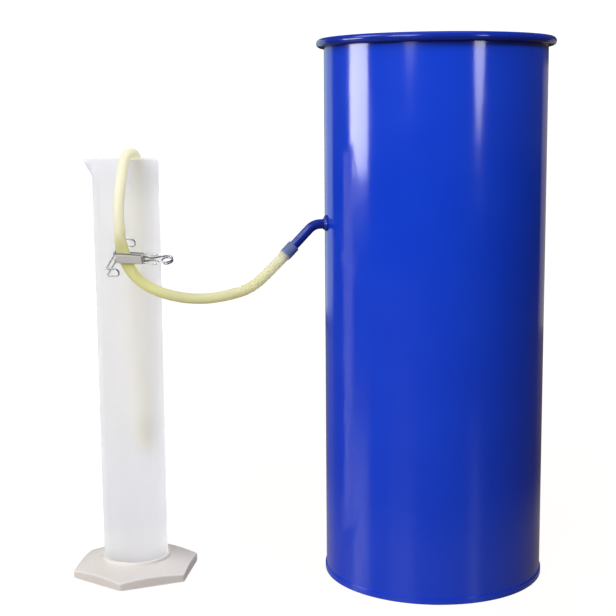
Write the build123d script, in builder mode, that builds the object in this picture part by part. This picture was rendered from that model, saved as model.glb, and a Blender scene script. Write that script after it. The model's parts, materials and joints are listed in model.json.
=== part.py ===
"""Siphon specific gravity apparatus.

A tall sheet-metal can with a welded siphon pipe, a latex hose with a spring clip on it,
and a plastic measuring cylinder that the hose empties into. Millimetres, +Z up. The origin
is the middle of the can's bottom face, and +X runs from the measuring cylinder to the can.
"""

import os
from math import cos, pi, radians, sin, sqrt, tan

from build123d import *

# Siphon can
can_radius = 115.0
can_height = 564.4
can_sheet = 0.8
rim_wire_diameter = 7.0
rim_wire_clearance = 0.05
curl_opening = 50.0
base_sheet = 1.2
base_flange_height = 6.0
base_edge_radius = 1.0
base_clearance = 0.05

# Siphon pipe
pipe_azimuth = 190.0
pipe_height = 376.2
pipe_diameter = 10.0
pipe_wall = 1.0
pipe_bend_radius = 16.0
pipe_outside_reach = 13.7
pipe_drop_angle = 46.0
pipe_drop_length = 42.8
pipe_inside_reach = 23.0
pipe_inside_drop = 60.0
pipe_hole_clearance = 0.1
weld_leg = 3.0
weld_length = 5.0
weld_clearance = 0.02

# Latex hose
hose_diameter = 11.0
hose_bore = 7.0
cuff_length = 13.0
cuff_taper = 3.0
cuff_clearance = 0.05
cuff_straight = 17.0
pinch_slack = 0.4
pinch_half_length = 7.2
pinch_transition = 20.0
pinch_lead = 7.8
pinch_slant = 11.0
pinch_slit = 0.6
arch_azimuth = -72.6
arch_direction = 63.9
arch_half_width = 12.0
arch_inward_shift = 0.6
hose_rim_gap = 1.1

# Spring clip, in its own frame: x towards the coil, y towards the back, z up along the jaws
clip_azimuth = -84.5
clip_pad_gap = 4.2
clip_below_rim = 96.15
clip_yaw = -11.5
clip_slope = 2.2
clip_roll = 25.0
clip_wire = 1.6
clip_pair_spacing = 8.0
clip_crossing_gap = 0.6
clip_leg_gap = 0.3
clip_pad_length = 12.4
clip_pad_y = 27.0
clip_bend_radius = 2.0
clip_pad_radius = 3.6
clip_neck_radius = 6.0
clip_tail_gap = 4.2
jaw_start_x = -8.0
jaw_length = 27.0
jaw_sheet = 0.6
jaw_clearance = 0.05
jaw_hose_gap = 0.1
coil_x = 44.1
coil_radius = 5.2
coil_gap = 0.5
coil_entry_angle = 120.0
coil_entry_run = 15.0
coil_split_gap = 0.2
coil_steps = 4

# Measuring cylinder
cylinder_x = -322.3
cylinder_y = -2.4
cylinder_height = 444.15
tube_top_radius = 34.7
tube_bottom_radius = 34.2
tube_wall = 2.4
tube_floor = 3.0
tube_seat_height = 3.5
tube_seat_clearance = 0.05
spout_reach = 10.5
spout_half_width = 15.0
spout_drop = 18.0
spout_tip_radius = 2.5
foot_corner_radius = 69.6
foot_corner_angle = 203.0
foot_corner_rounding = 4.0
foot_corner_height = 7.5
foot_edge_radius = 1.0
foot_slope_top_height = 16.0
foot_neck_radius = 2.2
foot_collar_height = 18.8
foot_collar_wall = 3.0
foot_collar_rounding = 1.0
foot_recess_radius = 46.0
foot_recess_depth = 1.5

os.makedirs("parts", exist_ok=True)


def finish(part, label):
    """Name a piece and write it to its own file."""
    part.label = label
    export_step(part, f"parts/{label}.step")


# Can shell: the sheet goes straight up and curls outwards round the rim wire
curl_inner = rim_wire_diameter / 2 + rim_wire_clearance
curl_outer = curl_inner + can_sheet
rim_centre = (can_radius + curl_inner, can_height - curl_outer)
can_inner_radius = can_radius - can_sheet
pipe_direction = Vector(cos(radians(pipe_azimuth)), sin(radians(pipe_azimuth)), 0)
pipe_axis_plane = Plane(origin=(0, 0, pipe_height), x_dir=(0, 0, 1), z_dir=pipe_direction)

with BuildPart() as can_shell:
    with BuildSketch(Plane.XZ) as shell_profile:
        with BuildLine():
            inside = Line((can_inner_radius, base_sheet), (can_inner_radius, rim_centre[1]))
            over = CenterArc(rim_centre, curl_outer, 180, curl_opening - 360)
            back = CenterArc(rim_centre, curl_inner, 180 + curl_opening, 360 - curl_opening)
            Line(over @ 1, back @ 0)
            outside = Line(back @ 1, (can_radius, base_sheet))
            Line(outside @ 1, inside @ 0)
        make_face()
    revolve(axis=Axis.Z)
    with BuildSketch(pipe_axis_plane):
        Circle(pipe_diameter / 2 + pipe_hole_clearance)
    extrude(amount=can_radius + can_sheet, mode=Mode.SUBTRACT)
finish(can_shell.part, "can_shell")

with BuildPart() as rim_wire:
    with BuildSketch(Plane.XZ):
        with Locations(rim_centre):
            Circle(rim_wire_diameter / 2)
    revolve(axis=Axis.Z)
finish(rim_wire.part, "rim_wire")

# Bottom pan: a flat disc whose flange stands round the outside of the shell
flange_inner = can_radius + base_clearance
flange_outer = flange_inner + base_sheet
with BuildPart() as can_base:
    Cylinder(flange_outer, base_flange_height, align=(Align.CENTER, Align.CENTER, Align.MIN))
    fillet(can_base.edges().sort_by(Axis.Z)[0], base_edge_radius)
    with BuildSketch(Plane.XY.offset(base_sheet)):
        Circle(flange_inner)
    extrude(amount=base_flange_height, mode=Mode.SUBTRACT)
finish(can_base.part, "can_base")

# Siphon pipe, drawn in the upright plane through the can's axis: x is the distance from it
pipe_plane = Plane(origin=(0, 0, 0), x_dir=pipe_direction, z_dir=pipe_direction.cross(Vector(0, 0, 1)))
inside_leg_x = can_inner_radius - pipe_inside_reach
elbow_x = can_radius + pipe_outside_reach
pipe_end_x = elbow_x + pipe_drop_length * cos(radians(pipe_drop_angle))
pipe_end_z = pipe_height - pipe_drop_length * sin(radians(pipe_drop_angle))
with BuildPart() as siphon_pipe:
    with BuildLine(pipe_plane) as pipe_path:
        FilletPolyline(
            (inside_leg_x, pipe_height - pipe_inside_drop),
            (inside_leg_x, pipe_height),
            (elbow_x, pipe_height),
            (pipe_end_x, pipe_end_z),
            radius=pipe_bend_radius,
        )
    with BuildSketch(Plane(origin=pipe_path.line @ 0, z_dir=pipe_path.line % 0)):
        Circle(pipe_diameter / 2)
        Circle(pipe_diameter / 2 - pipe_wall, mode=Mode.SUBTRACT)
    sweep()
finish(siphon_pipe.part, "siphon_pipe")

# Weld bead: a rounded ring on the pipe, cut to the curve of the shell that it lies on
weld_inner = pipe_diameter / 2 + weld_clearance
weld_outer = weld_inner + weld_leg
weld_root = sqrt(can_radius**2 - weld_outer**2) - can_sheet
with BuildPart() as pipe_weld:
    with BuildSketch(pipe_plane):
        with BuildLine():
            Polyline(
                (can_radius + weld_length, pipe_height + weld_inner),
                (weld_root, pipe_height + weld_inner),
                (weld_root, pipe_height + weld_outer),
                (can_radius + weld_clearance, pipe_height + weld_outer),
            )
            ThreePointArc(
                (can_radius + weld_clearance, pipe_height + weld_outer),
                (can_radius + 0.7 * weld_length, pipe_height + weld_inner + 0.65 * weld_leg),
                (can_radius + weld_length, pipe_height + weld_inner),
            )
        make_face()
    revolve(axis=Axis((0, 0, pipe_height), pipe_direction))
    with BuildSketch(Plane.XY.offset(pipe_height - 2 * weld_outer)):
        Circle(can_radius + weld_clearance)
    extrude(amount=4 * weld_outer, mode=Mode.SUBTRACT)
finish(pipe_weld.part, "pipe_weld")



def beside_rim(azimuth, outward, height):
    """Point at an azimuth of the measuring cylinder, outwards from the middle of its wall."""
    reach = tube_top_radius - tube_wall / 2 + outward
    turn = radians(azimuth)
    return Vector(cylinder_x + reach * cos(turn), cylinder_y + reach * sin(turn), cylinder_height + height)


# Clip frame: turned about the upright, then tipped, then rolled about its own length
clip_place = beside_rim(clip_azimuth, tube_wall / 2 + clip_pad_y + clip_pad_gap, -clip_below_rim)
clip_plane = Plane(clip_place).rotated((clip_yaw, clip_slope, clip_roll), ordering=Intrinsic.ZYX)
clip_back_plane = Plane(clip_place, x_dir=clip_plane.x_dir, z_dir=clip_plane.z_dir * -1)
slant = radians(pinch_slant)
pinch_up = clip_plane.z_dir * cos(slant) - clip_plane.x_dir * sin(slant)
hose_wall = (hose_diameter - hose_bore) / 2
pinch_thickness = 2 * hose_wall + pinch_slack
pinch_width = pi * (hose_diameter + hose_bore) / 4
jaw_thickness = clip_wire + 2 * (jaw_clearance + jaw_sheet)
jaw_y = pinch_thickness / 2 + jaw_hose_gap + jaw_thickness / 2
pair_shift = (clip_wire + clip_crossing_gap) / 2
clip_leg_x = jaw_start_x - clip_bend_radius - clip_leg_gap
clip_pad_x = clip_leg_x + clip_pad_length
clip_tail_x = coil_x - coil_radius - clip_wire / 2 - clip_tail_gap
pair_upper_z = clip_pair_spacing / 2 + pair_shift
pair_lower_z = -clip_pair_spacing / 2 + pair_shift
coil_pitch = clip_wire + coil_gap


def coil_point(angle):
    """Point of the coil's centre line at an angle, winding down to height 0 at -180 degrees."""
    turn = radians(angle)
    rise = coil_pitch * (angle + 180) / 360
    return Vector(coil_x + coil_radius * cos(turn), coil_radius * sin(turn), rise)


def coil_tangent(angle):
    """Direction of the wire at an angle, going round clockwise seen from above."""
    turn = radians(angle)
    slope = coil_pitch / (2 * pi)
    return Vector(coil_radius * sin(turn), -coil_radius * cos(turn), -slope).normalized()


def arc_middle(start, end, tangent):
    """Middle point of the arc that leaves start along tangent and reaches end."""
    chord = end - start
    along = chord.normalized()
    bulge = (tangent - along * tangent.dot(along)).normalized()
    half_turn = radians(tangent.get_angle(chord)) / 2
    return (start + end) * 0.5 + bulge * (chord.length / 2 * tan(half_turn))


def add_biarc(start, start_tangent, end, end_tangent):
    """Two tangent arcs from start to end, each leaving its end point along the wire."""
    gap = end - start
    both = start_tangent + end_tangent
    a = 2 * (start_tangent.dot(end_tangent) - 1)
    b = -2 * gap.dot(both)
    c = gap.dot(gap)
    reach = (-b - sqrt(b * b - 4 * a * c)) / (2 * a)
    joint = (start + start_tangent * reach + end - end_tangent * reach) * 0.5
    first_middle = arc_middle(start, joint, start_tangent)
    last_middle = arc_middle(end, joint, end_tangent * -1)
    ThreePointArc(tuple(start), tuple(first_middle), tuple(joint))
    ThreePointArc(tuple(joint), tuple(last_middle), tuple(end))


def make_clip_arm(frame):
    """One half of the clip's spring wire: tail, finger loop, jaw wire and half the coil."""
    entry = coil_point(coil_entry_angle)
    entry_tangent = coil_tangent(coil_entry_angle)
    last_angle = -180 + coil_split_gap / 2 / coil_radius * 180 / pi
    step = (last_angle - coil_entry_angle) / coil_steps
    jaw_end_x = jaw_start_x + jaw_length + clip_wire
    with BuildPart() as arm:
        with BuildLine(frame) as wire:
            FilletPolyline(
                (clip_tail_x, -jaw_y, pair_lower_z),
                (clip_leg_x, -jaw_y, pair_lower_z),
                (clip_leg_x, clip_pad_y, pair_lower_z),
                (clip_pad_x, clip_pad_y, pair_lower_z),
                (clip_pad_x, clip_pad_y, pair_upper_z),
                (clip_leg_x, clip_pad_y, pair_upper_z),
                (clip_leg_x, -jaw_y, pair_upper_z),
                (jaw_end_x, -jaw_y, pair_upper_z),
                tuple(entry - entry_tangent * coil_entry_run),
                tuple(entry),
                radius=[clip_bend_radius] * 2
                + [clip_pad_radius] * 2
                + [clip_bend_radius] * 2
                + [clip_neck_radius] * 2,
            )
            for i in range(coil_steps):
                start_angle = coil_entry_angle + i * step
                end_angle = start_angle + step
                add_biarc(
                    coil_point(start_angle),
                    coil_tangent(start_angle),
                    coil_point(end_angle),
                    coil_tangent(end_angle),
                )
        with BuildSketch(Plane(origin=wire.line @ 0, z_dir=wire.line % 0)):
            Circle(clip_wire / 2)
        sweep()
    return arm.part


def make_clip_jaw(frame):
    """Sheet sleeve folded flat round the two wires of one jaw."""
    middle_z = (pair_upper_z + pair_lower_z) / 2
    end_frame = Plane(
        origin=frame.from_local_coords((jaw_start_x, -jaw_y, middle_z)),
        x_dir=frame.z_dir,
        z_dir=frame.x_dir,
    )
    channel = clip_wire + 2 * jaw_clearance
    with BuildPart() as jaw:
        with BuildSketch(end_frame):
            SlotCenterToCenter(clip_pair_spacing, jaw_thickness)
            SlotCenterToCenter(clip_pair_spacing, channel, mode=Mode.SUBTRACT)
        extrude(amount=jaw_length)
    return jaw.part


finish(make_clip_arm(clip_plane), "clip_front_arm")
finish(make_clip_arm(clip_back_plane), "clip_back_arm")
finish(make_clip_jaw(clip_plane), "clip_front_jaw")
finish(make_clip_jaw(clip_back_plane), "clip_back_jaw")

# Least gap between the coil's turns, measured on points of the two halves
coil_angles = range(-180, int(coil_entry_angle) + 1, 5)
turn_gaps = []
for front_angle in coil_angles:
    for back_angle in coil_angles:
        if front_angle + back_angle + 360 > 120:
            across = coil_point(back_angle)
            opposite = Vector(across.X, -across.Y, -across.Z)
            turn_gaps.append((coil_point(front_angle) - opposite).length - clip_wire)
print(f"clip coil: least gap between turns {min(turn_gaps):.2f} mm")

# Hose route: along the pipe's end, down through the sag and up to the clip, then up the
# front of the measuring cylinder, over its rim and down inside to the bare end
pipe_end = pipe_plane.from_local_coords((pipe_end_x, pipe_end_z, 0))
drop_direction = pipe_path.line % 1
hose_start = pipe_end - drop_direction * cuff_length
first_bend = pipe_end + drop_direction * cuff_straight
sag_end = clip_place - pinch_up * pinch_half_length
rise_start = clip_place + pinch_up * pinch_half_length
pinch_in = sag_end - pinch_up * pinch_lead
pinch_out = rise_start + pinch_up * pinch_lead
span = pinch_in - first_bend
sideways = Vector(span.Y, -span.X, 0).normalized()
wall_side = (hose_diameter + tube_wall) / 2
arch_top = hose_diameter / 2 + hose_rim_gap
arch_shoulder = arch_half_width * tan(radians(22.5))

# Sag: share of the way from the pipe to the clip, distance sideways, height above the straight line
sag_shape = [
    (0.160, -1.1, -21.4),
    (0.326, -0.6, -28.6),
    (0.512, 0.1, -31.9),
    (0.691, 1.0, -28.7),
    (0.842, 2.1, -20.9),
    (0.933, 1.6, -11.5),
]
# Rise outside: azimuth round the cylinder, distance from its wall, height above its rim
outside_shape = [
    (-87.8, 33.5, -66.6),
    (-88.6, 31.9, -50.2),
    (-88.0, 25.9, -32.7),
    (-86.0, 15.2, -14.8),
]
# Hang inside: the same three numbers, with the distance taken inwards
inside_shape = [
    (-55.1, 1.4, -16.2),
    (-58.4, 3.3, -36.2),
    (-62.8, 5.3, -69.2),
    (-64.7, 6.2, -119.2),
    (-62.8, 5.3, -180.2),
    (-60.7, 3.7, -241.7),
    (-57.4, 1.2, -302.2),
]
# Arch over the rim: distance along the arch, height above its lower corners
arch_shape = [
    (-arch_half_width, 0),
    (-arch_shoulder, arch_half_width - arch_shoulder),
    (arch_shoulder, arch_half_width - arch_shoulder),
    (arch_half_width, 0),
]
arch_along = Vector(cos(radians(arch_direction)), sin(radians(arch_direction)), 0)
arch_middle = beside_rim(arch_azimuth, -arch_inward_shift, arch_top - arch_half_width + arch_shoulder)

sag_points = [hose_start, first_bend]
for share, side, rise in sag_shape:
    sag_points.append(first_bend + span * share + sideways * side + Vector(0, 0, rise))
sag_points.append(pinch_in)
rise_points = [pinch_out]
for azimuth, distance, height in outside_shape:
    rise_points.append(beside_rim(azimuth, wall_side + distance, height))
for along, rise in arch_shape:
    rise_points.append(arch_middle + arch_along * along + Vector(0, 0, rise))
for azimuth, distance, height in inside_shape:
    rise_points.append(beside_rim(azimuth, -wall_side - distance, height))


def corner_radii(points):
    """Largest arc that each corner's two runs allow, and print the corners as a check."""
    radii = []
    for before, corner, after in zip(points, points[1:], points[2:]):
        run_in = corner - before
        run_out = after - corner
        half_turn = radians(run_in.get_angle(run_out)) / 2
        radii.append(0.45 * min(run_in.length, run_out.length) / tan(half_turn))
    print("hose radii:", [round(radius, 1) for radius in radii])
    return radii


# The straight lead on each side of the jaws stays longer than the arc that ends in it
sag_radii = corner_radii(sag_points + [pinch_in + pinch_up * 2 * pinch_lead])
rise_radii = corner_radii([pinch_out - pinch_up * 2 * pinch_lead] + rise_points)
with BuildLine() as sag_line:
    FilletPolyline(sag_points + [sag_end], radius=sag_radii)
with BuildLine() as rise_line:
    FilletPolyline([rise_start] + rise_points, radius=rise_radii)
sag_wire = sag_line.wires()[0]
rise_wire = rise_line.wires()[0]
sag_share = 1 - pinch_transition / sag_wire.length
rise_share = pinch_transition / rise_wire.length
sag_tube = sag_wire.trim(0, sag_share)
rise_tube = rise_wire.trim(rise_share, 1)
flat_side = clip_plane.y_dir


def flattening(stretch, places, round_diameter, flat_width, flat_thickness):
    """Sections from the flattened hose in the jaws to the round hose beyond them."""
    sections = []
    for share in (0, 0.35, 0.7, 1):
        place = places[0] + (places[1] - places[0]) * share
        along = stretch % place
        width = flat_width + (round_diameter - flat_width) * share
        thickness = flat_thickness + (round_diameter - flat_thickness) * share
        with BuildSketch(Plane(stretch @ place, x_dir=flat_side.cross(along), z_dir=along)) as section:
            Ellipse(width / 2, thickness / 2)
        sections.append(section.sketch.faces()[0])
    return sections


cuff_diameter = sqrt(pipe_diameter**2 + hose_diameter**2 - hose_bore**2)
cuff_plane = Plane(origin=hose_start, z_dir=drop_direction)
with BuildPart() as siphon_hose:
    for tube in (sag_tube, rise_tube):
        with BuildSketch(Plane(origin=tube @ 0, z_dir=tube % 0)):
            Circle(hose_diameter / 2)
        sweep(path=tube)
    tube_volume = siphon_hose.part.volume
    with BuildSketch(cuff_plane):
        Circle(cuff_diameter / 2)
    extrude(amount=cuff_length)
    with BuildSketch(cuff_plane.offset(cuff_length)):
        Circle(cuff_diameter / 2)
    with BuildSketch(cuff_plane.offset(cuff_length + cuff_taper)):
        Circle(hose_diameter / 2)
    loft()
    loft(flattening(sag_wire, (1, sag_share), hose_diameter, pinch_width, pinch_thickness))
    loft(flattening(rise_wire, (0, rise_share), hose_diameter, pinch_width, pinch_thickness))
    with BuildSketch(Plane(origin=sag_end, x_dir=flat_side.cross(pinch_up), z_dir=pinch_up)):
        Ellipse(pinch_width / 2, pinch_thickness / 2)
    extrude(amount=2 * pinch_half_length)
    slit_width = pinch_width - 2 * hose_wall
    for tube in (sag_tube, rise_tube):
        with BuildSketch(Plane(origin=tube @ 0, z_dir=tube % 0)):
            Circle(hose_bore / 2)
        sweep(path=tube, mode=Mode.SUBTRACT)
    loft(flattening(sag_wire, (1, sag_share), hose_bore, slit_width, pinch_slit), mode=Mode.SUBTRACT)
    loft(flattening(rise_wire, (0, rise_share), hose_bore, slit_width, pinch_slit), mode=Mode.SUBTRACT)
    with BuildSketch(cuff_plane):
        Circle(pipe_diameter / 2 + cuff_clearance)
    extrude(amount=cuff_length, mode=Mode.SUBTRACT)
finish(siphon_hose.part, "siphon_hose")
tube_length = sag_tube.length + rise_tube.length
hose_length = sag_wire.length + 2 * pinch_half_length + rise_wire.length
expected = pi * hose_diameter**2 / 4 * tube_length
for point in sag_points + rise_points:
    print("hose point", [round(number, 2) for number in point])
print(f"hose: length {hose_length:.1f} mm, swept volume over section times length {tube_volume / expected:.4f}")

# Measuring cylinder: a slightly tapered tube with a pouring lip drawn out of its rim
tube_axis = Axis((cylinder_x, cylinder_y, 0), (0, 0, 1))
tube_plane = Plane(origin=(cylinder_x, cylinder_y, 0), x_dir=(1, 0, 0), z_dir=(0, -1, 0))
rim_plane = Plane(origin=(cylinder_x, cylinder_y, cylinder_height))


def spout_sections(inset):
    """A rounded V at the rim, and the point on the wall below it that the lip runs out to."""
    tip_x = -tube_top_radius - spout_reach + 1.6 * inset
    half_width = spout_half_width - inset
    shoulder_x = -sqrt((tube_top_radius - inset) ** 2 - half_width**2)
    with BuildSketch(rim_plane) as lip:
        with BuildLine():
            Polyline((shoulder_x, -half_width), (tip_x, 0), (shoulder_x, half_width), close=True)
        make_face()
        fillet(lip.vertices().sort_by(Axis.X)[0], max(spout_tip_radius - inset, spout_tip_radius / 4))
    point_x = cylinder_x - tube_top_radius + 1.6 * inset
    return [lip.sketch.faces()[0], Vertex(point_x, cylinder_y, cylinder_height - spout_drop + inset)]


with BuildPart() as cylinder_tube:
    with BuildSketch(tube_plane):
        with BuildLine():
            Polyline(
                (0, tube_seat_height),
                (tube_bottom_radius, tube_seat_height),
                (tube_top_radius, cylinder_height),
                (0, cylinder_height),
                close=True,
            )
        make_face()
    revolve(axis=tube_axis)
    loft(spout_sections(0))
    loft(spout_sections(tube_wall / 2), mode=Mode.SUBTRACT)
    with BuildSketch(tube_plane):
        with BuildLine():
            Polyline(
                (0, tube_seat_height + tube_floor),
                (tube_bottom_radius - tube_wall, tube_seat_height + tube_floor),
                (tube_top_radius - tube_wall, cylinder_height),
                (0, cylinder_height),
                close=True,
            )
        make_face()
    revolve(axis=tube_axis, mode=Mode.SUBTRACT)
finish(cylinder_tube.part, "cylinder_tube")

# Foot: a turned plate with a cone-shaped top and a round collar, trimmed to six sides, so that the
# upper edge of each side arches
foot_plane = Plane(origin=(cylinder_x, cylinder_y, 0))
collar_inner = tube_bottom_radius + tube_seat_clearance
collar_outer = collar_inner + foot_collar_wall
with BuildPart() as cylinder_foot:
    with BuildSketch(tube_plane) as foot_profile:
        with BuildLine():
            Polyline(
                (0, 0),
                (foot_corner_radius, 0),
                (foot_corner_radius, foot_corner_height),
                (collar_outer, foot_slope_top_height),
                (collar_outer, foot_collar_height),
                (0, foot_collar_height),
                close=True,
            )
        make_face()
        collar_corners = foot_profile.vertices().filter_by(lambda corner: abs(corner.X - collar_outer) < 0.01)
        fillet(collar_corners.sort_by(Axis.Y)[0], foot_neck_radius)
        collar_edge = foot_profile.vertices().sort_by(Axis.Y)[-2:].sort_by(Axis.X)[-1]
        fillet(collar_edge, foot_collar_rounding)
    revolve(axis=tube_axis)
    with BuildSketch(foot_plane):
        foot_outline = RegularPolygon(foot_corner_radius, 6, rotation=foot_corner_angle)
        fillet(foot_outline.vertices(), foot_corner_rounding)
    extrude(amount=foot_collar_height, mode=Mode.INTERSECT)
    foot_slope = cylinder_foot.faces().filter_by(GeomType.CONE).sort_by(SortBy.AREA)[-1]
    fillet(foot_slope.outer_wire().edges(), foot_edge_radius)
    with BuildSketch(foot_plane.offset(tube_seat_height)):
        Circle(collar_inner)
    extrude(amount=foot_collar_height, mode=Mode.SUBTRACT)
    with BuildSketch(foot_plane):
        Circle(foot_recess_radius)
    extrude(amount=foot_recess_depth, mode=Mode.SUBTRACT)
finish(cylinder_foot.part, "cylinder_foot")
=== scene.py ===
# %% [markdown]
# # Siphon can, hose and measuring cylinder
#
# This lesson dresses a siphon specific gravity apparatus: a tall enamelled can with a welded overflow
# pipe, a latex hose with a spring clip on it, and a milky plastic measuring cylinder. The solids come
# ready-made as a fixed frame, in metres. Our part is everything the eye judges: finishes, the soft hose,
# the weld, light and camera.

# %% Load the frame
import json
import math

import bpy
from mathutils import Matrix, Vector

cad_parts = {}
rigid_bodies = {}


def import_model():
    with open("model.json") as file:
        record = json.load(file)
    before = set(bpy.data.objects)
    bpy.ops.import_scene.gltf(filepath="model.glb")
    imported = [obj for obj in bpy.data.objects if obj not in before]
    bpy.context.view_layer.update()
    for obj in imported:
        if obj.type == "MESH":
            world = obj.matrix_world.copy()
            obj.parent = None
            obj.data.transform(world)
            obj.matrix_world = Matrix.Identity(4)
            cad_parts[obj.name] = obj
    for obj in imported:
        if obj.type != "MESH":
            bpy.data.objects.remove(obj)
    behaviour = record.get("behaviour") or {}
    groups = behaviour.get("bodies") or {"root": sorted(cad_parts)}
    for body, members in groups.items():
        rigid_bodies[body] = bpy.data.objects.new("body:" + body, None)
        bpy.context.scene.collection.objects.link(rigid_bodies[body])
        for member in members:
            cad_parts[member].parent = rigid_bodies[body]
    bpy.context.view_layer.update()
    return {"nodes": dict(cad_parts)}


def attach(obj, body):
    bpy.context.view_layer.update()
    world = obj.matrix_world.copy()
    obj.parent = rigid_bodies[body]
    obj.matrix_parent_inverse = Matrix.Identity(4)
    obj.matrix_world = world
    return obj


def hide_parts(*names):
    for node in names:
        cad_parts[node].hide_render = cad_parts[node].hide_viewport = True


for leftover in list(bpy.data.objects):
    bpy.data.objects.remove(leftover)
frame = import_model()
nodes = frame["nodes"]
scene = bpy.context.scene
print("frame nodes:", sorted(nodes))

# %% [markdown]
# ## Camera
#
# A photograph fixes the camera: where it stood, how far it looked down, and how long its lens was. The
# values here were found from the rims and feet, which are level circles in the real world. Building
# the camera's matrix from its right, up and backward directions is clearer than juggling three angles.

# %% Place the camera
look_down = 0.1475
picture_roll = -0.008
focal_pixels = 1284.79
picture_pixels = 616
camera_place = (-0.1333, -1.3474, 0.48557)
forward = Vector((0, math.cos(look_down), -math.sin(look_down)))
level_right = Vector((1, 0, 0))
level_up = level_right.cross(forward)
right = level_right * math.cos(picture_roll) + level_up * math.sin(picture_roll)
up = level_up * math.cos(picture_roll) - level_right * math.sin(picture_roll)
camera_data = bpy.data.cameras.new("photo_camera")
camera_data.sensor_width = 36
camera_data.lens = focal_pixels / picture_pixels * camera_data.sensor_width
camera_data.clip_end = 100
camera = bpy.data.objects.new("photo_camera", camera_data)
scene.collection.objects.link(camera)
turn = Matrix((right, up, -forward)).transposed().to_4x4()
camera.matrix_world = Matrix.Translation(camera_place) @ turn
scene.camera = camera
print("lens", round(camera_data.lens, 2), "mm")

# %% [markdown]
# ## Small helpers for finishes
#
# Colours are easiest to read as the hex codes that a colour picker shows. Blender's sockets want linear
# light instead, so one function converts them. A second one adds a node, sets its options, and either
# fills or wires each of its inputs.

# %% Colour and node helpers
def linear(hex_code, alpha=1.0):
    """Turn an sRGB hex code into the linear colour that shader sockets take."""
    channels = []
    for start in (0, 2, 4):
        value = int(hex_code[start:start + 2], 16) / 255
        channels.append(value / 12.92 if value <= 0.04045 else ((value + 0.055) / 1.055) ** 2.4)
    return (*channels, alpha)


def add_node(material, kind, settings=None, inputs=None):
    """Add a node, set its options, then fill its inputs with values or wire them to sockets."""
    tree = material.node_tree
    node = tree.nodes.new(kind)
    for name, value in (settings or {}).items():
        setattr(node, name, value)
    for name, value in (inputs or {}).items():
        if isinstance(value, bpy.types.NodeSocket):
            tree.links.new(value, node.inputs[name])
        else:
            node.inputs[name].default_value = value
    return node


def start_finish(name, values):
    """A new material whose shader has these constant values on its own sockets."""
    material = bpy.data.materials.new(name)
    material.use_nodes = True
    shader = material.node_tree.nodes["Principled BSDF"]
    for socket, value in values.items():
        shader.inputs[socket].default_value = value
    return material, shader


def wire(material, source, shader, socket):
    """Connect a node's output to one of the shader's inputs."""
    material.node_tree.links.new(source, shader.inputs[socket])


def dress(node_name, material):
    """Give a solid of the frame its finish."""
    mesh = nodes[node_name].data
    mesh.materials.clear()
    mesh.materials.append(material)


# %% [markdown]
# ## Blue enamel
#
# The can is rolled steel sheet with a stoved gloss enamel. Gloss paint shows three things: a deep body
# colour, mirror-like reflections whose edges waver because the sheet is never quite true, and a very
# fine orange-peel. The waver is 45 mm broad, read off the edges of the long highlights. The real peel is
# near 1 mm, too fine for the picture, so it is drawn at 4 mm. A faint change of gloss stands for wiped dust.
# The curl is painted a deeper blue as painted shade, and the narrow pipe's enamel is a deeper blue all over.

# %% Enamel finishes
def make_enamel(name, deep_hex, light_hex, curl_shade_hex, waver_depth, peel_depth, shine):
    """A stoved gloss enamel between two body colours, with depths in metres and two roughness values.
    It is darker on the curled rim, a painted shade."""
    material, shader = start_finish(name, {"IOR": 1.5})
    place = add_node(material, "ShaderNodeTexCoord").outputs["Object"]
    waver = add_node(material, "ShaderNodeTexNoise", {}, {"Vector": place, "Scale": 1 / 0.045, "Detail": 1.0})
    peel = add_node(material, "ShaderNodeTexNoise", {}, {"Vector": place, "Scale": 1 / 0.004, "Detail": 2.0})
    wiped = add_node(material, "ShaderNodeTexNoise", {}, {"Vector": place, "Scale": 1 / 0.09, "Detail": 5.0})
    waver_bump = add_node(
        material, "ShaderNodeBump", {}, {"Distance": waver_depth, "Height": waver.outputs["Fac"]}
    )
    peel_bump = add_node(
        material,
        "ShaderNodeBump",
        {},
        {"Distance": peel_depth, "Height": peel.outputs["Fac"], "Normal": waver_bump.outputs["Normal"]},
    )
    wire(material, peel_bump.outputs["Normal"], shader, "Normal")
    body = add_node(
        material,
        "ShaderNodeMix",
        {"data_type": "RGBA"},
        {"Factor": waver.outputs["Fac"], "A": linear(deep_hex), "B": linear(light_hex)},
    )
    height = add_node(material, "ShaderNodeSeparateXYZ", {}, {"Vector": place})
    # Painted shade: the curled rim is tinted a deeper blue.
    curl_shade_mask = add_node(
        material, "ShaderNodeMapRange", {}, {"Value": height.outputs["Z"], "From Min": 0.5552, "From Max": 0.5562}
    )
    coat = add_node(
        material,
        "ShaderNodeMix",
        {"data_type": "RGBA"},
        {"Factor": curl_shade_mask.outputs["Result"], "A": body.outputs["Result"], "B": linear(curl_shade_hex)},
    )
    wire(material, coat.outputs["Result"], shader, "Base Color")
    gloss = add_node(
        material,
        "ShaderNodeMapRange",
        {},
        {"Value": wiped.outputs["Fac"], "From Min": 0.3, "From Max": 0.7, "To Min": shine[0], "To Max": shine[1]},
    )
    wire(material, gloss.outputs["Result"], shader, "Roughness")
    return material


# Bright blue with long mirrored streaks, and a deeper line round the curl as painted shade.
can_enamel = make_enamel("stoved_blue_enamel", "0e3ac8", "1340ce", "0c2a9c", 0.00022, 0.000018, (0.10, 0.17))
# The same paint on bent tube: deeper and less of a mirror.
pipe_enamel = make_enamel("stoved_blue_enamel_on_pipe", "0b2582", "112c90", "112c90", 0.00003, 0.000004, (0.20, 0.26))
dress("can_shell", can_enamel)
dress("can_base", can_enamel)
dress("siphon_pipe", pipe_enamel)
dress("pipe_weld", pipe_enamel)
print("enamel on the can, its base, pipe and weld")
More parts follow.
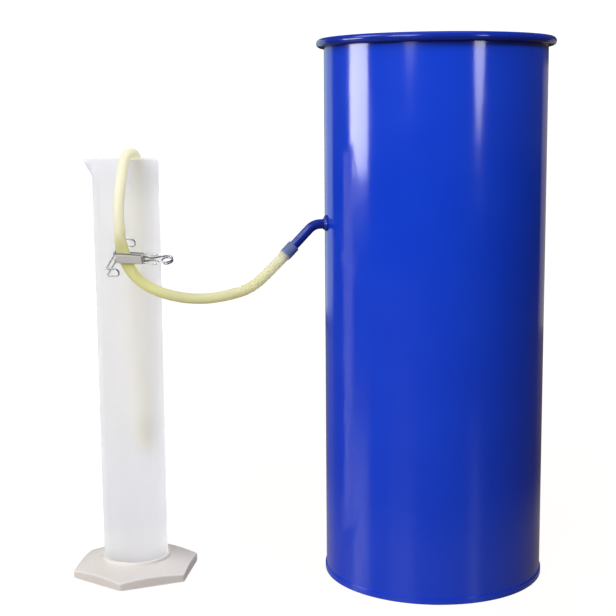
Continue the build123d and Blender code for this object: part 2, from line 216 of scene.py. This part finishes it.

# %% [markdown]
# ## Drawn wire and plated clip
#
# The rim's wire is hidden in the curl. It is plain drawn steel, which the die leaves in faint bands of grey
# along its length. The clip is spring wire with folded sheet jaws, all nickel plated: a cool white metal,
# bright but not a mirror, clouded where fingers have dulled it. The real clouds are near 3 mm across and turn
# to speckle at this size, so they are drawn at 6 mm. Rubbing has worn the jaws dull. Their upper faces, which
# the surface's own direction picks out, are painted dark as painted shade. The wire is still bright.

# %% Steel and nickel finishes
# Dull grey wire with faint bands.
drawn_steel, drawn_shader = start_finish("drawn_steel_wire", {"Metallic": 1.0, "Roughness": 0.4})
drawn_where = add_node(drawn_steel, "ShaderNodeTexCoord")
bands = add_node(
    drawn_steel, "ShaderNodeTexNoise", {}, {"Vector": drawn_where.outputs["Object"], "Scale": 1 / 0.01, "Detail": 2.0}
)
drawn_colour = add_node(
    drawn_steel,
    "ShaderNodeMix",
    {"data_type": "RGBA"},
    {"Factor": bands.outputs["Fac"], "A": linear("858587"), "B": linear("949390")},
)
wire(drawn_steel, drawn_colour.outputs["Result"], drawn_shader, "Base Color")
dress("rim_wire", drawn_steel)

# Cool white metal that mirrors its surroundings softly.
nickel, nickel_shader = start_finish("nickel_plate", {"Metallic": 1.0})
nickel_where = add_node(nickel, "ShaderNodeTexCoord")
clouding = add_node(
    nickel,
    "ShaderNodeTexNoise",
    {},
    {"Vector": nickel_where.outputs["Object"], "Scale": 1 / 0.006, "Detail": 1.0},
)
plate_colour = add_node(
    nickel,
    "ShaderNodeMix",
    {"data_type": "RGBA"},
    {"Factor": clouding.outputs["Fac"], "A": linear("d3d5d9"), "B": linear("c6c8cc")},
)
wire(nickel, plate_colour.outputs["Result"], nickel_shader, "Base Color")
plate_gloss = add_node(
    nickel,
    "ShaderNodeMapRange",
    {},
    {"Value": clouding.outputs["Fac"], "From Min": 0.3, "From Max": 0.7, "To Min": 0.22, "To Max": 0.30},
)
wire(nickel, plate_gloss.outputs["Result"], nickel_shader, "Roughness")
for name in ("clip_front_arm", "clip_back_arm"):
    dress(name, nickel)

# The same plating, worn until it scatters light more than it mirrors it, and painted dark on top as painted shade.
dull_nickel, dull_shader = start_finish("dull_nickel_sheet", {"Metallic": 0.12, "Roughness": 0.3})
dull_where = add_node(dull_nickel, "ShaderNodeTexCoord")
dull_facing = add_node(dull_nickel, "ShaderNodeSeparateXYZ", {}, {"Vector": dull_where.outputs["Normal"]})
# Painted shade: faces that look up are darkened.
top_shade_mask = add_node(
    dull_nickel, "ShaderNodeMapRange", {}, {"Value": dull_facing.outputs["Z"], "From Min": -0.2, "From Max": 0.3}
)
dull_cloud = add_node(
    dull_nickel, "ShaderNodeTexNoise", {}, {"Vector": dull_where.outputs["Object"], "Scale": 1 / 0.006, "Detail": 1.0}
)
dull_colour = add_node(
    dull_nickel,
    "ShaderNodeMix",
    {"data_type": "RGBA"},
    {"Factor": dull_cloud.outputs["Fac"], "A": linear("f4f3f2"), "B": linear("e6e5e4")},
)
# Painted shade on the upper faces.
top_shaded_colour = add_node(
    dull_nickel,
    "ShaderNodeMix",
    {"data_type": "RGBA"},
    {"Factor": top_shade_mask.outputs["Result"], "A": dull_colour.outputs["Result"], "B": linear("58545a")},
)
wire(dull_nickel, top_shaded_colour.outputs["Result"], dull_shader, "Base Color")
for name in ("clip_front_jaw", "clip_back_jaw"):
    dress(name, dull_nickel)
print("nickel on the clip")

# %% [markdown]
# ## Milky plastic
#
# The measuring cylinder is moulded polypropylene. It lets light through but scatters it, so it glows a
# cool milky white and hides what is inside but for a hint. Two surfaces are mixed for it: a rough one that
# bends light through, which keeps the lip and the edges crisp, and a translucent one that spreads light evenly.
# Plastic that flowed up the mould left faint streaks 8 mm apart. Low down the colour is lifted towards white, a
# painted light against the shade in the foot's seat, and at the lip it is darker, a painted shade. The foot is a
# denser, warmer moulding that lets less through. Its thin edges, which a bevel finds, are painted paler, a painted
# highlight for the light they gather.

# %% Plastic finishes
# Even milky white, with crisp edges and a hint of what is inside.
milky, milky_shader = start_finish(
    "milky_polypropylene",
    {
        "Roughness": 0.92,
        "IOR": 1.49,
        "Specular IOR Level": 0.2,
        "Transmission Weight": 0.97,
    },
)
milky_where = add_node(milky, "ShaderNodeTexCoord")
stretch = add_node(
    milky, "ShaderNodeMapping", {}, {"Vector": milky_where.outputs["Object"], "Scale": (1.0, 1.0, 0.12)}
)
flow = add_node(
    milky,
    "ShaderNodeTexNoise",
    {},
    {"Vector": stretch.outputs["Vector"], "Scale": 1 / 0.008, "Detail": 2.0},
)
milk_colour = add_node(
    milky,
    "ShaderNodeMix",
    {"data_type": "RGBA"},
    {"Factor": flow.outputs["Fac"], "A": linear("f0f0f1"), "B": linear("ebebec")},
)
tube_height = add_node(milky, "ShaderNodeSeparateXYZ", {}, {"Vector": milky_where.outputs["Object"]})
# Painted light: the colour is lifted towards white low down.
low_painted_light = add_node(
    milky,
    "ShaderNodeMapRange",
    {"interpolation_type": "SMOOTHSTEP"},
    {"Value": tube_height.outputs["Z"], "From Min": 0.070, "From Max": 0.005},
)
# Painted shade: the colour is darker near the lip.
lip_painted_shade = add_node(
    milky,
    "ShaderNodeMapRange",
    {"interpolation_type": "SMOOTHSTEP"},
    {"Value": tube_height.outputs["Z"], "From Min": 0.39, "From Max": 0.447},
)
lip_shaded_colour = add_node(
    milky,
    "ShaderNodeMix",
    {"data_type": "RGBA"},
    {"Factor": lip_painted_shade.outputs["Result"], "A": milk_colour.outputs["Result"], "B": linear("dfdfe2")},
)
tube_colour = add_node(
    milky,
    "ShaderNodeMix",
    {"data_type": "RGBA"},
    {"Factor": low_painted_light.outputs["Result"], "A": lip_shaded_colour.outputs["Result"], "B": linear("fefefe")},
)
wire(milky, tube_colour.outputs["Result"], milky_shader, "Base Color")
flow_bump = add_node(
    milky, "ShaderNodeBump", {}, {"Strength": 0.6, "Distance": 0.00004, "Height": flow.outputs["Fac"]}
)
wire(milky, flow_bump.outputs["Normal"], milky_shader, "Normal")
through_milk = add_node(
    milky,
    "ShaderNodeBsdfTranslucent",
    {},
    {"Color": tube_colour.outputs["Result"], "Normal": flow_bump.outputs["Normal"]},
)
milky_body = add_node(
    milky,
    "ShaderNodeMixShader",
    {},
    {"Fac": 0.6, 1: milky_shader.outputs["BSDF"], 2: through_milk.outputs["BSDF"]},
)
wire(milky, milky_body.outputs["Shader"], milky.node_tree.nodes["Material Output"], "Surface")
dress("cylinder_tube", milky)

# Warm off-white with a soft sheen and edges made paler by a painted highlight.
foot_plastic, foot_shader = start_finish(
    "moulded_foot_plastic",
    {
        "Roughness": 0.8,
        "IOR": 1.25,
        "Coat Weight": 0.4,
        "Coat Roughness": 0.2,
    },
)
foot_where = add_node(foot_plastic, "ShaderNodeTexCoord")
mottle = add_node(
    foot_plastic,
    "ShaderNodeTexNoise",
    {},
    {"Vector": foot_where.outputs["Object"], "Scale": 1 / 0.02, "Detail": 3.0},
)
foot_colour = add_node(
    foot_plastic,
    "ShaderNodeMix",
    {"data_type": "RGBA"},
    {"Factor": mottle.outputs["Fac"], "A": linear("efebe7"), "B": linear("e9e4df")},
)
rounded = add_node(foot_plastic, "ShaderNodeBevel", {"samples": 8}, {"Radius": 0.003})
true_face = add_node(foot_plastic, "ShaderNodeNewGeometry")
alike = add_node(
    foot_plastic,
    "ShaderNodeVectorMath",
    {"operation": "DOT_PRODUCT"},
    {0: rounded.outputs["Normal"], 1: true_face.outputs["Normal"]},
)
# Painted highlight: edges that the bevel finds are lightened.
edge_highlight_mask = add_node(
    foot_plastic, "ShaderNodeMapRange", {}, {"Value": alike.outputs["Value"], "From Min": 0.995, "From Max": 0.93}
)
edge_highlighted_colour = add_node(
    foot_plastic,
    "ShaderNodeMix",
    {"data_type": "RGBA"},
    {"Factor": edge_highlight_mask.outputs["Result"], "A": foot_colour.outputs["Result"], "B": linear("fffdfa")},
)
wire(foot_plastic, edge_highlighted_colour.outputs["Result"], foot_shader, "Base Color")
spark = add_node(
    foot_plastic,
    "ShaderNodeTexNoise",
    {},
    {"Vector": foot_where.outputs["Object"], "Scale": 1 / 0.0012, "Detail": 2.0},
)
spark_bump = add_node(
    foot_plastic, "ShaderNodeBump", {}, {"Strength": 0.5, "Distance": 0.00003, "Height": spark.outputs["Fac"]}
)
wire(foot_plastic, spark_bump.outputs["Normal"], foot_shader, "Normal")
through_foot = add_node(
    foot_plastic,
    "ShaderNodeBsdfTranslucent",
    {},
    {"Color": edge_highlighted_colour.outputs["Result"], "Normal": spark_bump.outputs["Normal"]},
)
foot_body = add_node(
    foot_plastic,
    "ShaderNodeMixShader",
    {},
    {"Fac": 0.4, 1: foot_shader.outputs["BSDF"], 2: through_foot.outputs["BSDF"]},
)
wire(foot_plastic, foot_body.outputs["Shader"], foot_plastic.node_tree.nodes["Material Output"], "Surface")
dress("cylinder_foot", foot_plastic)
print("plastic on the cylinder and its foot")

# %% [markdown]
# ## Weld bead
#
# The pipe is welded to the wall, and the painted bead still shows the welder's work: short overlapping ripples,
# and a lump at the top where the run ended. It starts as a circle round the pipe, extruded ring by ring down to
# the wall. Every third column is then swollen for the ripples, and the topmost points are pulled up for the lump.

# %% Weld bead
import bmesh

can_radius = 0.115
pipe_height = 0.3762
pipe_turn = math.radians(190)
pipe_way = Vector((math.cos(pipe_turn), math.sin(pipe_turn), 0))
weld_place = pipe_way * can_radius + Vector((0, 0, pipe_height))
bead_columns = 48
bead_foot = (0.0050, -0.0004)
ripple_height = 0.00035
lump_shift = (0, 0.0019, 0.0002)
# Radius and height of each ring, from the pipe down to the wall.
bead_rings = ((0.00500, 0.0046), (0.00560, 0.0034), (0.00635, 0.0022), (0.00710, 0.0010), (0.00760, -0.0004))
bpy.ops.object.select_all(action="DESELECT")
bpy.ops.mesh.primitive_circle_add(vertices=bead_columns, radius=bead_rings[0][0], location=(0, 0, 0))
bead = bpy.context.object
bead.name = "weld_bead"
bead.data.name = "weld_bead"
bpy.ops.object.mode_set(mode="EDIT")
bpy.ops.mesh.select_all(action="SELECT")
bpy.ops.transform.translate(value=(0, 0, bead_rings[0][1]))
for (radius, height), (next_radius, next_height) in zip(bead_rings, bead_rings[1:] + (bead_foot,)):
    bpy.ops.mesh.extrude_region_move(TRANSFORM_OT_translate={"value": (0, 0, next_height - height)})
    grow = next_radius / radius
    bpy.ops.transform.resize(value=(grow, grow, 1), center_override=(0, 0, 0))
bpy.ops.mesh.select_all(action="DESELECT")
bpy.ops.mesh.select_non_manifold()
bpy.ops.mesh.bridge_edge_loops()


def select_bead(keep):
    """Select the bead's points for which keep(point) is true."""
    bpy.ops.mesh.select_all(action="DESELECT")
    points = bmesh.from_edit_mesh(bead.data)
    chosen = [point for point in points.verts if keep(point.co)]
    for point in chosen:
        point.select = True
    points.select_flush_mode()
    bmesh.update_edit_mesh(bead.data)
    return len(chosen)


def column_of(co):
    """Number of the column that a point of the bead is in."""
    return round(math.atan2(co.y, co.x) / (2 * math.pi) * bead_columns) % bead_columns


swollen = select_bead(lambda co: 0.0005 < co.z < 0.0040 and column_of(co) % 3 == 0)
bpy.ops.transform.shrink_fatten(value=ripple_height)
lump = select_bead(lambda co: co.y > 0.0052 and abs(co.x) < 0.0022 and co.z < 0.003)
bpy.ops.transform.translate(value=lump_shift)
bpy.ops.mesh.select_all(action="SELECT")
bpy.ops.mesh.normals_make_consistent(inside=False)
bpy.ops.object.mode_set(mode="OBJECT")
smoother = bead.modifiers.new("smooth_bead", "SUBSURF")
smoother.levels = 2
smoother.render_levels = 2
bpy.ops.object.modifier_apply(modifier=smoother.name)
bpy.ops.object.shade_smooth()
across = Vector((0, 0, 1)).cross(pipe_way)
bead.matrix_world = Matrix.Translation(weld_place) @ Matrix((across, Vector((0, 0, 1)), pipe_way)).transposed().to_4x4()
bpy.ops.object.transform_apply(location=True, rotation=True, scale=True)
bead.data.materials.append(pipe_enamel)
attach(bead, "siphon_can")
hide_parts("pipe_weld")
print("weld bead:", swollen, "points swollen,", lump, "raised,", len(bead.data.polygons), "faces")

# %% [markdown]
# ## The hose's line
#
# A hose is a fixed length of something limp. It leaves the pipe straight, sags, is pinched by the clip,
# climbs the front of the cylinder, bends tightly over its rim and hangs inside. A NURBS spline of order 3
# rounds these points as rubber would. Its order is set after the points are in, or it stays a polyline.

# %% Draw the hose's route
hose_route_mm = [
    (-147.13, -25.94, 354.76),
    (-167.65, -29.56, 333.18),
    (-190.58, -35.88, 312.00),
    (-214.72, -40.84, 305.03),
    (-241.81, -46.26, 301.99),
    (-267.92, -51.25, 305.43),
    (-290.03, -55.14, 313.44),
    (-303.10, -58.61, 322.96),
    (-312.44, -62.37, 334.56),
    (-319.53, -73.63, 361.44),
    (-319.47, -76.05, 377.55),
    (-320.54, -74.48, 393.95),
    (-319.99, -68.46, 411.45),
    (-318.44, -57.67, 429.35),
    (-317.74, -44.57, 443.72),
    (-314.65, -38.26, 450.75),
    (-310.27, -29.33, 450.75),
    (-307.18, -23.02, 443.72),
    (-307.77, -23.23, 427.95),
    (-309.99, -22.42, 407.95),
    (-312.47, -21.52, 374.95),
    (-313.50, -21.02, 324.95),
    (-312.47, -21.52, 263.95),
    (-311.00, -22.54, 202.45),
    (-308.51, -23.97, 141.95),
]
route_curve = bpy.data.curves.new("hose_route", "CURVE")
route_curve.dimensions = "3D"
route_curve.resolution_u = 16
route_spline = route_curve.splines.new("NURBS")
route_spline.points.add(len(hose_route_mm) - 1)
for point, place in zip(route_spline.points, hose_route_mm):
    point.co = (*(value / 1000 for value in place), 1)
route_spline.order_u = 3
route_spline.use_endpoint_u = True
route_object = bpy.data.objects.new("hose_route", route_curve)
scene.collection.objects.link(route_object)
bpy.context.view_layer.update()
route_mesh = bpy.data.meshes.new_from_object(route_object)
hose_line = [vertex.co.copy() for vertex in route_mesh.vertices]
bpy.data.objects.remove(route_object)
along = [0.0]
for before, after in zip(hose_line, hose_line[1:]):
    along.append(along[-1] + (after - before).length)
hose_length = along[-1]
print("hose line:", len(hose_line), "points,", round(hose_length, 4), "m")

# %% [markdown]
# ## The hose's skin
#
# The hose is not one even tube. Its first 13 mm are stretched over the pipe, the clip squeezes it flat, and
# its cut end shows the bore. So the skin is a row of rings along the line, each with its own width and
# thickness, running from inside the cuff, round its lip, along the outside and into the bore. Each ring keeps
# the direction of the one before it, so the skin does not twist, and the jaws set where its flat side is.

# %% Build the hose
hose_radius = 0.0055
bore_radius = 0.0035
cuff_radius = 0.00655
cuff_bore = 0.00507
cuff_length = 0.013
cuff_taper = 0.004
bore_depth = 0.03
clip_middle = Vector((-0.31598, -0.0680, 0.3480))
jaw_facing = Vector((0.1966, 0.8849, 0.4223))
pinch_half = 0.0072
pinch_fade = 0.02
pinched_half_width = 0.00707
pinched_half_thickness = 0.00185
ring_points = 32
skin_steps = 420

pinch_index = min(range(len(hose_line)), key=lambda i: (hose_line[i] - clip_middle).length)
tangents = []
for i in range(len(hose_line)):
    ahead = hose_line[min(i + 1, len(hose_line) - 1)]
    behind = hose_line[max(i - 1, 0)]
    tangents.append((ahead - behind).normalized())
thick_ways = [None] * len(hose_line)
first_way = jaw_facing - tangents[pinch_index] * jaw_facing.dot(tangents[pinch_index])
thick_ways[pinch_index] = first_way.normalized()
for i in range(pinch_index + 1, len(hose_line)):
    swing = tangents[i - 1].rotation_difference(tangents[i])
    thick_ways[i] = swing @ thick_ways[i - 1]
for i in range(pinch_index - 1, -1, -1):
    swing = tangents[i + 1].rotation_difference(tangents[i])
    thick_ways[i] = swing @ thick_ways[i + 1]
pinch_along = along[pinch_index]


def ease(share):
    """Smooth step from 0 to 1."""
    share = min(max(share, 0.0), 1.0)
    return share * share * (3 - 2 * share)


def ring_at(distance, half_width, half_thickness, squareness=2.0):
    """Points of a ring round the hose's line at this distance along it."""
    i = max(k for k in range(len(along) - 1) if along[k] <= distance + 1e-9)
    share = min((distance - along[i]) / (along[i + 1] - along[i]), 1.0)
    centre = hose_line[i].lerp(hose_line[i + 1], share)
    tangent = tangents[i].lerp(tangents[i + 1], share).normalized()
    thick_way = thick_ways[i].lerp(thick_ways[i + 1], share)
    thick_way = (thick_way - tangent * thick_way.dot(tangent)).normalized()
    wide_way = tangent.cross(thick_way)
    ring = []
    for k in range(ring_points):
        angle = 2 * math.pi * k / ring_points
        c, s = math.cos(angle), math.sin(angle)
        across = math.copysign(abs(c) ** (2 / squareness), c) * half_width
        through = math.copysign(abs(s) ** (2 / squareness), s) * half_thickness
        ring.append(centre + wide_way * across + thick_way * through)
    return ring


def outside_size(distance):
    """Half width, half thickness and squareness of the outside at a distance along the hose."""
    from_jaws = abs(distance - pinch_along)
    squeeze = 1 - ease((from_jaws - pinch_half) / pinch_fade)
    radius = cuff_radius + (hose_radius - cuff_radius) * ease((distance - cuff_length) / cuff_taper)
    half_width = radius + (pinched_half_width - radius) * squeeze
    half_thickness = radius + (pinched_half_thickness - radius) * squeeze
    return half_width, half_thickness, 2.0 + 0.9 * squeeze


rings = []
distances = []
cuff_rings = ((0.0125, cuff_bore), (0.0006, cuff_bore), (0.0, 0.0054), (0.0, 0.0062))
for distance, radius in cuff_rings:
    rings.append(ring_at(distance, radius, radius))
    distances.append(distance)
for k in range(skin_steps + 1):
    distance = 0.0005 + (hose_length - 0.001) * k / skin_steps
    rings.append(ring_at(distance, *outside_size(distance)))
    distances.append(distance)
end = hose_length
end_rings = ((end, 0.0051), (end, 0.0038), (end - 0.0005, bore_radius), (end - bore_depth, bore_radius))
for distance, radius in end_rings:
    rings.append(ring_at(distance, radius, radius))
    distances.append(distance)

hose_points = [point for ring in rings for point in ring]
hose_faces = []
for r in range(len(rings) - 1):
    for k in range(ring_points):
        k2 = (k + 1) % ring_points
        low, high = r * ring_points, (r + 1) * ring_points
        hose_faces.append((low + k, low + k2, high + k2, high + k))
hose_faces.append(tuple(reversed(range(ring_points))))
hose_faces.append(tuple((len(rings) - 1) * ring_points + k for k in range(ring_points)))
hose_mesh = bpy.data.meshes.new("latex_hose")
hose_mesh.from_pydata(hose_points, [], hose_faces)
hose_mesh.update()
for polygon in hose_mesh.polygons:
    polygon.use_smooth = True
hose_uv = hose_mesh.uv_layers.new(name="along_hose")
for polygon in hose_mesh.polygons:
    columns = [hose_mesh.loops[i].vertex_index % ring_points for i in polygon.loop_indices]
    wraps = max(columns) - min(columns) > ring_points / 2
    for i, column in zip(polygon.loop_indices, columns):
        ring_number = hose_mesh.loops[i].vertex_index // ring_points
        u = (column + (ring_points if wraps and column == 0 else 0)) / ring_points
        hose_uv.data[i].uv = (u, distances[ring_number])
pipe_shows_to = 0.0118
pipe_fades_over = 0.0028
over_pipe = hose_mesh.attributes.new("over_pipe", "FLOAT", "POINT")
for i, item in enumerate(over_pipe.data):
    item.value = 1 - ease((distances[i // ring_points] - pipe_shows_to) / pipe_fades_over)
hose = bpy.data.objects.new("latex_hose", hose_mesh)
scene.collection.objects.link(hose)
print("hose skin:", len(hose_faces), "faces")

# %% [markdown]
# ## Latex finish
#
# Natural latex tube is cloudy yellow-white, translucent and satin. Half of the light is thrown back at its surface
# and half comes through, which leaves it without dark edges. Dipped tube carries faint streaks along its length and
# a patchy bloom some 12 mm across. Where it is stretched over the blue pipe the wall is thin, and the pipe shows
# through. It is paler next to the pipe, where it is still stretched, and in its upper half, which has bleached in
# use. Near the clip, where the flattened hose lies in shade, it is painted a lighter yellow as painted light, and
# inside the cylinder, where it lies in the tube's shade, it is painted palest as painted light. These changes follow
# the hose, so they read a value stored on the skin, and the distance along it that its UV map keeps.

# %% Latex finish
# Cloudy cream to yellow, soft at the edges, blue-grey over the pipe.
latex, latex_shader = start_finish(
    "natural_latex",
    {"Roughness": 0.6, "Specular IOR Level": 0.25},
)
latex_where = add_node(latex, "ShaderNodeTexCoord")
bloom = add_node(
    latex,
    "ShaderNodeTexNoise",
    {},
    {"Vector": latex_where.outputs["Object"], "Scale": 1 / 0.012, "Detail": 3.0},
)
latex_colour = add_node(
    latex,
    "ShaderNodeMix",
    {"data_type": "RGBA"},
    {"Factor": bloom.outputs["Fac"], "A": linear("e6e5c4"), "B": linear("e0deba")},
)
hose_map = add_node(latex, "ShaderNodeSeparateXYZ", {}, {"Vector": latex_where.outputs["UV"]})
bleaching = add_node(
    latex,
    "ShaderNodeMapRange",
    {"interpolation_type": "SMOOTHSTEP"},
    {"Value": hose_map.outputs["Y"], "From Min": 0.17, "From Max": 0.26},
)
stretching = add_node(
    latex,
    "ShaderNodeMapRange",
    {"interpolation_type": "SMOOTHSTEP"},
    {"Value": hose_map.outputs["Y"], "From Min": 0.02, "From Max": 0.06, "To Min": 0.4, "To Max": 0.0},
)
paleness = add_node(
    latex,
    "ShaderNodeMath",
    {"operation": "MAXIMUM"},
    {0: bleaching.outputs["Result"], 1: stretching.outputs["Result"]},
)
aged_colour = add_node(
    latex,
    "ShaderNodeMix",
    {"data_type": "RGBA"},
    {"Factor": paleness.outputs["Value"], "A": latex_colour.outputs["Result"], "B": linear("f0eedc")},
)
clip_along = 0.195
from_clip = add_node(
    latex, "ShaderNodeMath", {"operation": "SUBTRACT"}, {0: hose_map.outputs["Y"], 1: clip_along}
)
near_clip = add_node(latex, "ShaderNodeMath", {"operation": "ABSOLUTE"}, {0: from_clip.outputs["Value"]})
# Painted light: the hose is lighter near the clip.
clip_painted_light = add_node(
    latex,
    "ShaderNodeMapRange",
    {"interpolation_type": "SMOOTHSTEP"},
    {"Value": near_clip.outputs["Value"], "From Min": 0.055, "From Max": 0.015},
)
clip_lit_colour = add_node(
    latex,
    "ShaderNodeMix",
    {"data_type": "RGBA"},
    {"Factor": clip_painted_light.outputs["Result"], "A": aged_colour.outputs["Result"], "B": linear("f0efc0")},
)
# Painted light: the hose inside the cylinder is lighter.
inside_painted_light = add_node(
    latex,
    "ShaderNodeMapRange",
    {"interpolation_type": "SMOOTHSTEP"},
    {"Value": hose_map.outputs["Y"], "From Min": 0.335, "From Max": 0.355},
)
inside_lit_colour = add_node(
    latex,
    "ShaderNodeMix",
    {"data_type": "RGBA"},
    {"Factor": inside_painted_light.outputs["Result"], "A": clip_lit_colour.outputs["Result"], "B": linear("fbf9e4")},
)
pipe_share = add_node(latex, "ShaderNodeAttribute", {"attribute_name": "over_pipe"})
shown_colour = add_node(
    latex,
    "ShaderNodeMix",
    {"data_type": "RGBA"},
    {"Factor": pipe_share.outputs["Fac"], "A": inside_lit_colour.outputs["Result"], "B": linear("7d8ebc")},
)
wire(latex, shown_colour.outputs["Result"], latex_shader, "Base Color")
streak_map = add_node(
    latex, "ShaderNodeMapping", {}, {"Vector": latex_where.outputs["UV"], "Scale": (24.0, 20.0, 1.0)}
)
streaks = add_node(
    latex,
    "ShaderNodeTexNoise",
    {"noise_dimensions": "2D"},
    {"Vector": streak_map.outputs["Vector"], "Scale": 1.0, "Detail": 2.0},
)
streak_bump = add_node(
    latex, "ShaderNodeBump", {}, {"Strength": 0.5, "Distance": 0.00002, "Height": streaks.outputs["Fac"]}
)
wire(latex, streak_bump.outputs["Normal"], latex_shader, "Normal")
through_latex = add_node(
    latex,
    "ShaderNodeBsdfTranslucent",
    {},
    {"Color": shown_colour.outputs["Result"], "Normal": streak_bump.outputs["Normal"]},
)
latex_body = add_node(
    latex,
    "ShaderNodeMixShader",
    {},
    {"Fac": 0.5, 1: latex_shader.outputs["BSDF"], 2: through_latex.outputs["BSDF"]},
)
wire(latex, latex_body.outputs["Shader"], latex.node_tree.nodes["Material Output"], "Surface")
hose_mesh.materials.append(latex)
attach(hose, "siphon_can")
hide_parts("siphon_hose")

# %% [markdown]
# ## Floor and background
#
# The picture is a plain studio shot on white. Floor and background are white for the camera and for light that
# passes plastic, but dim for gloss, which keeps the enamel deep. Only near the object the floor shines a little in
# the lower part of the can.

# %% Floor and world
floor_radius = 14.0
bpy.ops.object.select_all(action="DESELECT")
bpy.ops.mesh.primitive_circle_add(vertices=96, radius=floor_radius, fill_type="NGON", location=(-0.13, 0, 0))
bpy.ops.object.transform_apply(location=True)
floor = bpy.context.object
floor.name = "studio_floor"
paper, paper_shader = start_finish(
    "pale_paper_floor",
    {"Base Color": linear("5a4838"), "Roughness": 0.35},
)
paper_where = add_node(paper, "ShaderNodeTexCoord")
from_object = add_node(
    paper, "ShaderNodeVectorMath", {"operation": "LENGTH"}, {0: paper_where.outputs["Object"]}
)
backlight = add_node(
    paper,
    "ShaderNodeMapRange",
    {"interpolation_type": "SMOOTHSTEP"},
    {"Value": from_object.outputs["Value"], "From Min": 0.3, "From Max": 1.6, "To Min": 0.94, "To Max": 1.02},
)
paper_path = add_node(paper, "ShaderNodeLightPath")
seen = add_node(
    paper,
    "ShaderNodeMath",
    {"operation": "MULTIPLY_ADD"},
    {0: paper_path.outputs["Is Transmission Ray"], 1: 0.65, 2: paper_path.outputs["Is Camera Ray"]},
)
table_shine = add_node(
    paper,
    "ShaderNodeMapRange",
    {"interpolation_type": "SMOOTHSTEP"},
    {"Value": from_object.outputs["Value"], "From Min": 0.2, "From Max": 0.5, "To Min": 0.22, "To Max": 0.0},
)
by_mirror = add_node(
    paper,
    "ShaderNodeMath",
    {"operation": "SUBTRACT", "use_clamp": True},
    {0: paper_path.outputs["Is Glossy Ray"], 1: paper_path.outputs["Is Transmission Ray"]},
)
mirrored = add_node(
    paper,
    "ShaderNodeMath",
    {"operation": "MULTIPLY"},
    {0: by_mirror.outputs["Value"], 1: table_shine.outputs["Result"]},
)
glow = add_node(
    paper,
    "ShaderNodeMath",
    {"operation": "MULTIPLY_ADD"},
    {0: seen.outputs["Value"], 1: backlight.outputs["Result"], 2: mirrored.outputs["Value"]},
)
wire(paper, glow.outputs["Value"], paper_shader, "Emission Strength")
glow_colour = add_node(
    paper,
    "ShaderNodeMix",
    {"data_type": "RGBA"},
    {"Factor": by_mirror.outputs["Value"], "A": linear("ffffff"), "B": linear("eee2d4")},
)
wire(paper, glow_colour.outputs["Result"], paper_shader, "Emission Color")
floor.data.materials.append(paper)

world = bpy.data.worlds.new("studio_world")
world.use_nodes = True
scene.world = world
backdrop = world.node_tree.nodes["Background"]
backdrop.inputs["Color"].default_value = (1, 1, 1, 1)
sky_path = add_node(world, "ShaderNodeLightPath")
sky_through = add_node(
    world,
    "ShaderNodeMath",
    {"operation": "MULTIPLY_ADD"},
    {0: sky_path.outputs["Is Transmission Ray"], 1: 1.45, 2: 0.08},
)
sky_strength = add_node(
    world,
    "ShaderNodeMath",
    {"operation": "ADD"},
    {0: sky_through.outputs["Value"], 1: sky_path.outputs["Is Camera Ray"]},
)
wire(world, sky_strength.outputs["Value"], backdrop, "Strength")
print("floor and world ready")

# %% [markdown]
# ## Lamps
#
# Gloss enamel mirrors every lamp, so lamps stand where their reflections say: a tall soft box to the left, a narrow
# one to the front right, a small one beside the camera, two high on the left for the rim and the pipe, and two
# panels behind for the can's pale edges. These are there only to be mirrored, so that each streak can be set without
# changing the rest. Others only shade: a large high key on the left, a small lamp on the right, one behind for the
# back, and one over the can's mouth, narrow enough to fall inside it.

# %% Lamps
def soft_box(name, place, target, width, height, watts, role, shape="RECTANGLE"):
    """A soft lamp at a place, facing a target. Its role: to be mirrored by gloss, to shade, or both."""
    data = bpy.data.lights.new(name, "AREA")
    data.shape = shape
    data.size = width
    data.size_y = height
    data.energy = watts
    lamp = bpy.data.objects.new(name, data)
    scene.collection.objects.link(lamp)
    facing = (Vector(target) - Vector(place)).to_track_quat("-Z", "Y")
    lamp.matrix_world = Matrix.Translation(place) @ facing.to_matrix().to_4x4()
    lamp.visible_camera = False
    lamp.visible_diffuse = role != "mirrored"
    lamp.visible_glossy = role != "shade"
    lamp.visible_transmission = role == "both"
    return data


soft_box("left_tall_box", (-1.64, -0.09, 0.54), (0, -0.09, 0.54), 0.70, 0.35, 10, "mirrored")
soft_box("front_right_box", (1.02, -1.34, 0.67), (0, 0, 0.67), 0.32, 0.42, 2.9, "mirrored", "ELLIPSE")
soft_box("small_front_box", (-0.85, -1.47, 0.82), (0, 0, 0.82), 0.42, 0.48, 1.1, "mirrored", "ELLIPSE")
back_panel = soft_box("back_left_panel", (-0.85, 1.45, 0.52), (0, 0, 0.40), 1.0, 1.0, 2.4, "mirrored")
back_panel.color = (0.75, 0.95, 1.0)
edge_panel = soft_box("back_right_panel", (0.95, 1.35, 0.30), (0, 0, 0.25), 0.8, 0.6, 0.5, "mirrored")
edge_panel.color = (1.0, 0.9, 0.75)
soft_box("left_high_box", (-1.9, -0.25, 2.0), (-0.2, 0, 0.4), 1.0, 1.0, 14, "mirrored")
soft_box("upper_left_box", (-1.5, -2.0, 1.6), (-0.1, 0, 0.4), 1.2, 1.2, 24, "mirrored")
soft_box("high_key_box", (-1.45, -1.65, 1.75), (-0.15, 0, 0.28), 2.2, 2.2, 84, "shade")
soft_box("right_fill_box", (0.55, -0.62, 1.15), (0.08, -0.05, 0.5), 0.25, 0.25, 4.4, "shade")
soft_box("back_fill_box", (0.45, 2.30, 1.50), (0, 0, 0.3), 1.3, 1.3, 40, "shade")
mouth_box = soft_box("can_mouth_box", (0, 0, 1.8), (0, 0, 0), 0.04, 0.04, 0.12, "shade")
mouth_box.spread = math.radians(8.5)
soft_box("overhead_box", (-0.1, 0.1, 2.6), (-0.1, 0, 0), 1.6, 1.6, 4, "both")
scene.view_settings.view_transform = "Standard"
scene.view_settings.look = "None"
